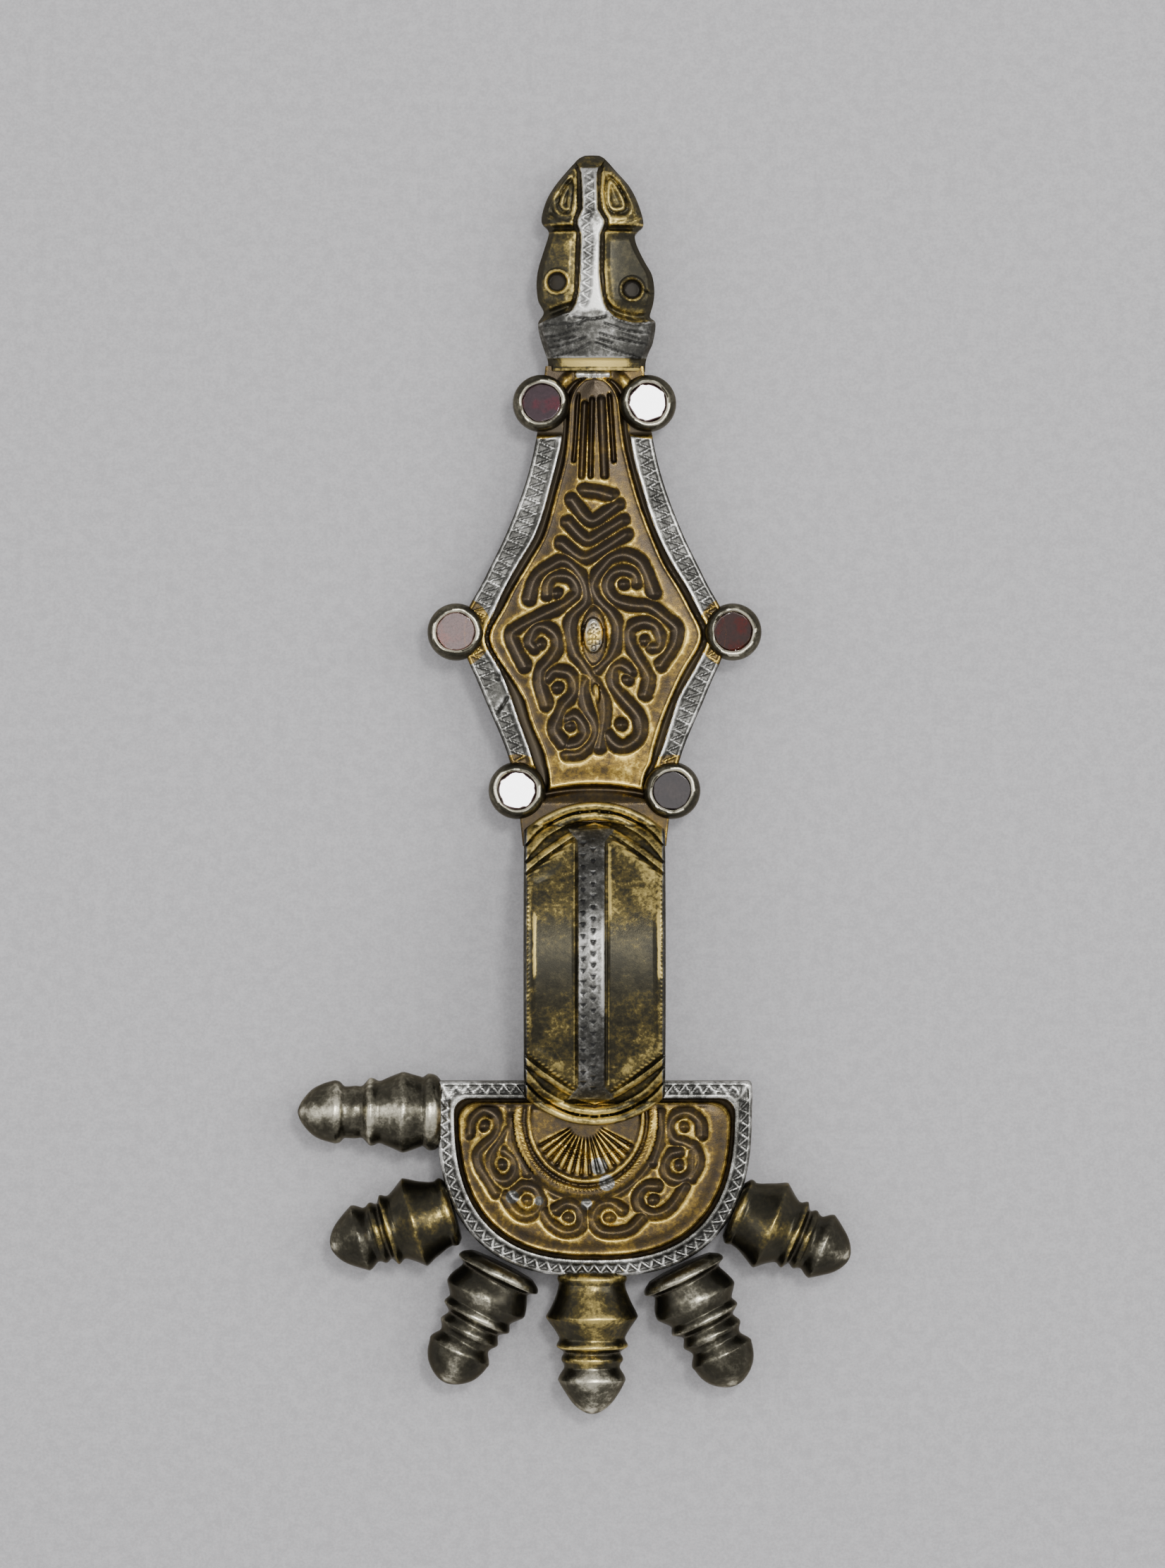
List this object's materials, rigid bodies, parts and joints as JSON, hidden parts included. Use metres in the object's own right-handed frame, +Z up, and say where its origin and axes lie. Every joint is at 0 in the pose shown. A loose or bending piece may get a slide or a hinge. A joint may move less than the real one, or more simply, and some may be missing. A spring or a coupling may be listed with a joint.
{
  "type": "radiate-headed bow brooch",
  "caption": "Silver-gilt bow brooch with a carved semicircular head plate, turned knobs, an arched bow, a lozenge foot set with garnets, an animal-head end and a sprung pin behind.",
  "frame": {"origin": "centre of the underside of the bounding box, on the surface that the brooch lies on face up", "axes": "+X across, +Y along the brooch towards the animal head, +Z up through the decorated face"},
  "size_m": [0.0692, 0.1568, 0.0169],
  "materials": {
    "silver_gilt": "cast silver, fire-gilt in the carved fields, worn and darkened, with bare silver rims and black niello in the punched triangles",
    "gilt_knob": "gilt silver, worn to bare metal on the high places, dark in the grooves",
    "silver_knob": "tarnished silver, polished by wear on the high places",
    "garnet": "flat polished dark red stone over foil",
    "iron": "dark wrought iron"
  },
  "bodies": {
    "brooch": {"body": "silver_gilt", "garnet_top_left": "garnet", "garnet_top_right": "garnet", "garnet_middle_left": "garnet", "garnet_middle_right": "garnet", "garnet_bottom_left": "garnet", "garnet_bottom_right": "garnet", "knob_side": "silver_knob", "knob_lower_left": "gilt_knob", "knob_left": "silver_knob", "knob_middle": "gilt_knob", "knob_right": "silver_knob", "knob_lower_right": "gilt_knob", "spring_axle": "iron"},
    "pin": {"pin": "iron"}
  },
  "joints": [
    {"name": "pin_swing", "type": "hinge", "parent": "brooch", "child": "pin", "pos_m": [0.00262, -0.04102, 0.00231], "axis": [-1, 0, 0], "range_deg": [0, 30]}
  ]
}
